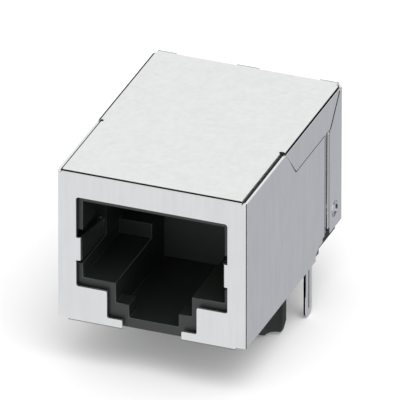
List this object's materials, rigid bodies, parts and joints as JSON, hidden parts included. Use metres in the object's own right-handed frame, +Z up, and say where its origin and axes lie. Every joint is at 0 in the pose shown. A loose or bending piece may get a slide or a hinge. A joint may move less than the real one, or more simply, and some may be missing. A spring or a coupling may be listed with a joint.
{
  "type": "rj45 board jack",
  "caption": "Shielded right-angle modular jack for a circuit board: folded metal shell over a plastic housing, latch side down, with pegs, legs and through-hole tails.",
  "frame": {"origin": "on the board's upper face, halfway between the two locating pegs", "axes": "+Z up from the board, +Y from the plug opening to the back, +X to the right of someone who faces the opening"},
  "size_m": [0.016, 0.0216, 0.0173],
  "materials": {
    "shield_steel": "satin bright plating",
    "housing_plastic": "fine matt moulded black",
    "insert_plastic": "fine matt moulded black",
    "contact_gold": "bright gold flash"
  },
  "bodies": {
    "root": {"shield": "shield_steel", "housing": "housing_plastic", "contact_insert": "insert_plastic", "contact_1": "contact_gold", "contact_2": "contact_gold", "contact_3": "contact_gold", "contact_4": "contact_gold", "contact_5": "contact_gold", "contact_6": "contact_gold", "contact_7": "contact_gold", "contact_8": "contact_gold"}
  },
  "joints": []
}
